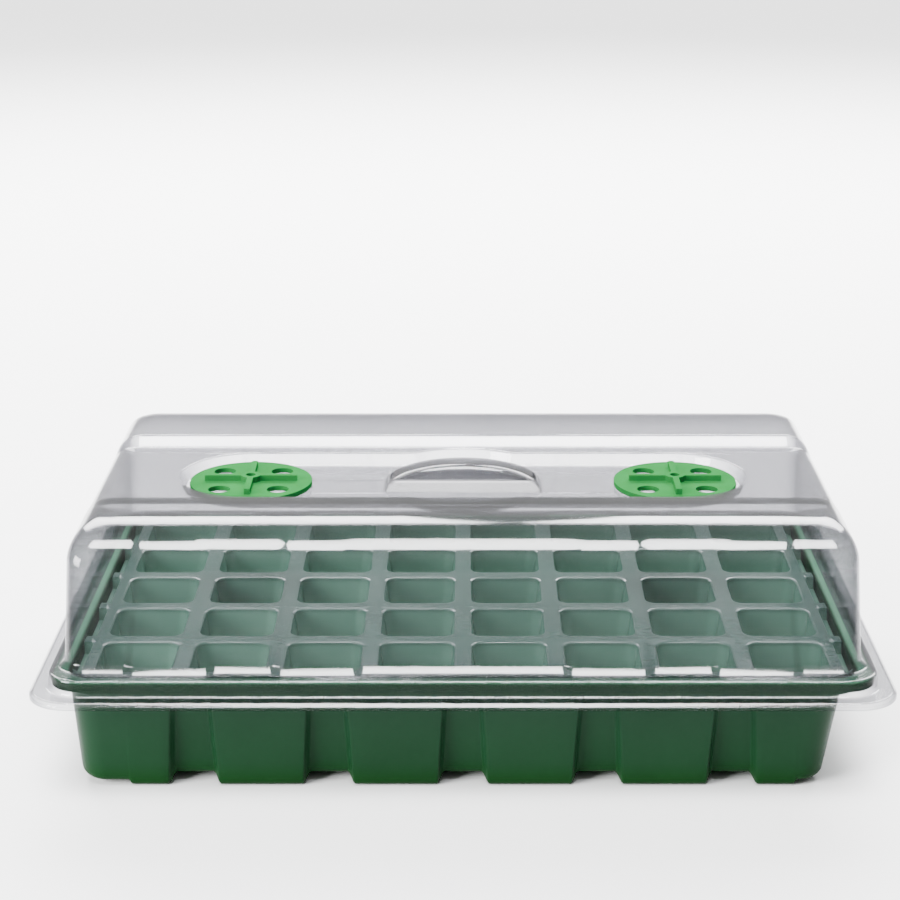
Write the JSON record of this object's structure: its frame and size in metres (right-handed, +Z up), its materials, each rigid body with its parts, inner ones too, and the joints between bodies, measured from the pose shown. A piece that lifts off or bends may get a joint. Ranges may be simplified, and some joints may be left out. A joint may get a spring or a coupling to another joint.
{
  "type": "humidity dome tray",
  "caption": "Seed propagator: a fluted tray, a sheet of planting cells, and a clear lift-off dome with a finger handle and turning vents.",
  "frame": {"origin": "on the ground under the middle of the tray, level with the bottoms of its feet", "axes": "+X along the tray's length, +Y to its back, +Z up"},
  "size_m": [0.4, 0.259, 0.1265],
  "materials": {
    "tray_green": "satin",
    "sheet_grey": "satin",
    "clear_plastic": "gloss",
    "vent_green": "satin"
  },
  "bodies": {
    "base": {"base_tray": "tray_green"},
    "cell_sheet": {"cell_r1_c1": "sheet_grey", "cell_r1_c2": "sheet_grey", "cell_r1_c3": "sheet_grey", "cell_r1_c4": "sheet_grey", "cell_r1_c5": "sheet_grey", "cell_r1_c6": "sheet_grey", "cell_r1_c7": "sheet_grey", "cell_r1_c8": "sheet_grey", "cell_r2_c1": "sheet_grey", "cell_r2_c2": "sheet_grey", "cell_r2_c3": "sheet_grey", "cell_r2_c4": "sheet_grey", "cell_r2_c5": "sheet_grey", "cell_r2_c6": "sheet_grey", "cell_r2_c7": "sheet_grey", "cell_r2_c8": "sheet_grey", "cell_r3_c1": "sheet_grey", "cell_r3_c2": "sheet_grey", "cell_r3_c3": "sheet_grey", "cell_r3_c4": "sheet_grey", "cell_r3_c5": "sheet_grey", "cell_r3_c6": "sheet_grey", "cell_r3_c7": "sheet_grey", "cell_r3_c8": "sheet_grey", "cell_r4_c1": "sheet_grey", "cell_r4_c2": "sheet_grey", "cell_r4_c3": "sheet_grey", "cell_r4_c4": "sheet_grey", "cell_r4_c5": "sheet_grey", "cell_r4_c6": "sheet_grey", "cell_r4_c7": "sheet_grey", "cell_r4_c8": "sheet_grey", "cell_r5_c1": "sheet_grey", "cell_r5_c2": "sheet_grey", "cell_r5_c3": "sheet_grey", "cell_r5_c4": "sheet_grey", "cell_r5_c5": "sheet_grey", "cell_r5_c6": "sheet_grey", "cell_r5_c7": "sheet_grey", "cell_r5_c8": "sheet_grey"},
    "lid": {"dome_front_wall": "clear_plastic", "dome_back_wall": "clear_plastic", "dome_left_end": "clear_plastic", "dome_right_end": "clear_plastic", "dome_front_hump": "clear_plastic", "dome_back_hump": "clear_plastic", "dome_left_cap": "clear_plastic", "dome_right_cap": "clear_plastic", "dome_left_deck": "clear_plastic", "dome_right_deck": "clear_plastic", "dome_front_deck": "clear_plastic", "dome_back_deck": "clear_plastic", "dome_handle": "clear_plastic"},
    "left_vent": {"vent_left": "vent_green"},
    "right_vent": {"vent_right": "vent_green"}
  },
  "joints": [
    {"name": "cell_sheet_lift", "type": "slide", "parent": "base", "child": "cell_sheet", "axis": [0, 0, 1], "range_m": [0, 0.08]},
    {"name": "dome_lift", "type": "slide", "parent": "cell_sheet", "child": "lid", "axis": [0, 0, 1], "range_m": [0, 0.12]},
    {"name": "left_vent_turn", "type": "hinge", "parent": "lid", "child": "left_vent", "pos_m": [-0.106, 0, 0.1139], "axis": [0, 0, 1], "continuous": true},
    {"name": "right_vent_turn", "type": "hinge", "parent": "lid", "child": "right_vent", "pos_m": [0.106, 0, 0.1139], "axis": [0, 0, 1], "continuous": true}
  ]
}
